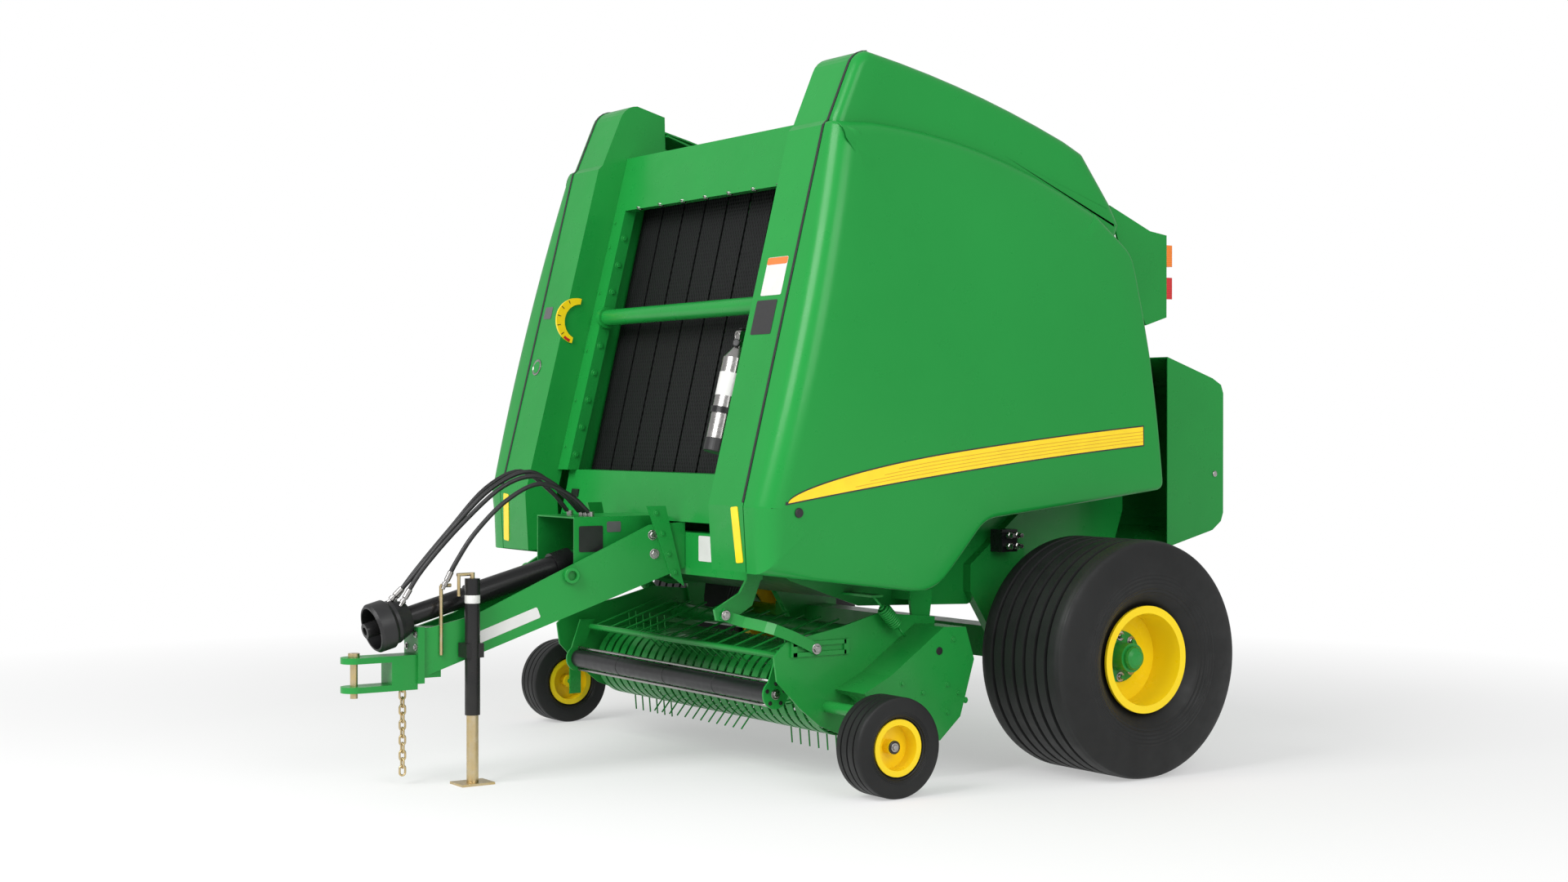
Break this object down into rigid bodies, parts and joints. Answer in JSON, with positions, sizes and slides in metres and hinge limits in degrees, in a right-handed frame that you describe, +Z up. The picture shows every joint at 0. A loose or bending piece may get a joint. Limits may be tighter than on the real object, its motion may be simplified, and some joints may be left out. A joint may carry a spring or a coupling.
{
  "type": "round baler",
  "caption": "Tractor-drawn round baler with a belt chamber, side shields, tined pickup, gauge wheels and tailgate, standing on its parking jack.",
  "frame": {"origin": "on the ground, in the middle of the overall length and width", "axes": "+X forward to the tractor, +Y to the machine's left, +Z up"},
  "size_m": [3.94, 3.346, 3.02],
  "materials": {
    "green_paint": "gloss",
    "dark_green_paint": "gloss",
    "green_shell": "gloss",
    "black_plastic": "satin",
    "black_steel": "gloss",
    "roller_cover": "satin",
    "belt_rubber": "matte",
    "hose_rubber": "satin",
    "roller_steel": "satin",
    "gold_zinc": "satin",
    "bright_steel": "satin",
    "yellow_mark": "gloss",
    "amber_lens": "gloss",
    "red_lens": "gloss",
    "tyre_rubber": "matte",
    "yellow_paint": "gloss"
  },
  "bodies": {
    "frame": {"side_sheets": "green_paint", "front_columns": "green_paint", "top_rails": "green_paint", "top_beam": "green_paint", "posts": "green_paint", "lower_panel": "green_paint", "panel_latches": "black_plastic", "cross_tube": "green_paint", "belts": "belt_rubber", "belt_rollers": "roller_steel", "axle_beam": "green_paint", "roller_housing": "dark_green_paint", "front_cross": "green_paint", "tongue": "green_paint", "hitch_clevis": "green_paint", "hitch_pin": "gold_zinc", "gearbox_hood": "green_paint", "gearbox": "dark_green_paint", "driveline": "black_steel", "driveline_bell": "black_plastic", "pto_coupler": "black_steel", "jack_tube": "black_steel", "jack_crank": "gold_zinc", "hose_rest": "gold_zinc", "safety_chain": "gold_zinc", "hose_fittings": "bright_steel", "hose_a": "hose_rubber", "hose_b": "hose_rubber", "hose_c": "hose_rubber", "hose_d": "hose_rubber", "extinguisher": "bright_steel", "extinguisher_strap": "black_steel", "bale_gauge": "yellow_mark"},
    "jack": {"jack_leg": "gold_zinc"},
    "left_door": {"left_shield": "green_shell", "shield_latch_l": "black_plastic"},
    "right_door": {"right_shield": "green_shell", "shield_latch_r": "black_plastic"},
    "tailgate": {"tailgate_sheets": "green_paint", "tailgate_rear": "green_paint", "lamp_brackets": "green_paint", "amber_lamps": "amber_lens", "red_lamps": "red_lens", "wrap_box": "green_paint"},
    "wheel_l": {"main_tyre_l": "tyre_rubber", "main_rim_l": "yellow_paint", "main_hub_l": "green_paint"},
    "wheel_r": {"main_tyre_r": "tyre_rubber", "main_rim_r": "yellow_paint", "main_hub_r": "green_paint"},
    "pickup": {"pickup_plates": "green_paint", "stripper_bands": "green_paint", "gauge_arms": "green_paint", "windguard": "green_paint"},
    "gauge_l": {"gauge_tyre_l": "tyre_rubber", "gauge_rim_l": "yellow_paint"},
    "gauge_r": {"gauge_tyre_r": "tyre_rubber", "gauge_rim_r": "yellow_paint"},
    "reel": {"pickup_reel": "green_paint"},
    "guard": {"windguard_roller": "roller_cover"}
  },
  "joints": [
    {"name": "wheel_l_spin", "type": "hinge", "parent": "frame", "child": "wheel_l", "pos_m": [-0.97, 1.4, 0.507], "axis": [0, 1, 0], "continuous": true},
    {"name": "wheel_r_spin", "type": "hinge", "parent": "frame", "child": "wheel_r", "pos_m": [-0.97, -1.4, 0.507], "axis": [0, 1, 0], "continuous": true},
    {"name": "gauge_l_spin", "type": "hinge", "parent": "pickup", "child": "gauge_l", "pos_m": [0.2, 1.373, 0.205], "axis": [0, 1, 0], "continuous": true},
    {"name": "gauge_r_spin", "type": "hinge", "parent": "pickup", "child": "gauge_r", "pos_m": [0.2, -1.373, 0.205], "axis": [0, 1, 0], "continuous": true},
    {"name": "reel_spin", "type": "hinge", "parent": "pickup", "child": "reel", "pos_m": [0.1, 0, 0.35], "axis": [0, 1, 0], "continuous": true},
    {"name": "guard_spin", "type": "hinge", "parent": "pickup", "child": "guard", "pos_m": [0.402, 0, 0.375], "axis": [0, 1, 0], "continuous": true},
    {"name": "pickup_lift", "type": "hinge", "parent": "frame", "child": "pickup", "pos_m": [-0.31, 0, 0.6], "axis": [0, -1, 0], "range_deg": [0, 10]},
    {"name": "tailgate_open", "type": "hinge", "parent": "frame", "child": "tailgate", "pos_m": [-1.01, 0, 2.44], "axis": [0, 1, 0], "range_deg": [0, 55]},
    {"name": "left_door_open", "type": "hinge", "parent": "frame", "child": "left_door", "pos_m": [-1.58, 1.15, 1.5], "axis": [0, 0, 1], "range_deg": [0, 75]},
    {"name": "right_door_open", "type": "hinge", "parent": "frame", "child": "right_door", "pos_m": [-1.58, -1.15, 1.5], "axis": [0, 0, -1], "range_deg": [0, 75]},
    {"name": "jack_slide", "type": "slide", "parent": "frame", "child": "jack", "axis": [0, 0, 1], "range_m": [0, 0.26]}
  ]
}
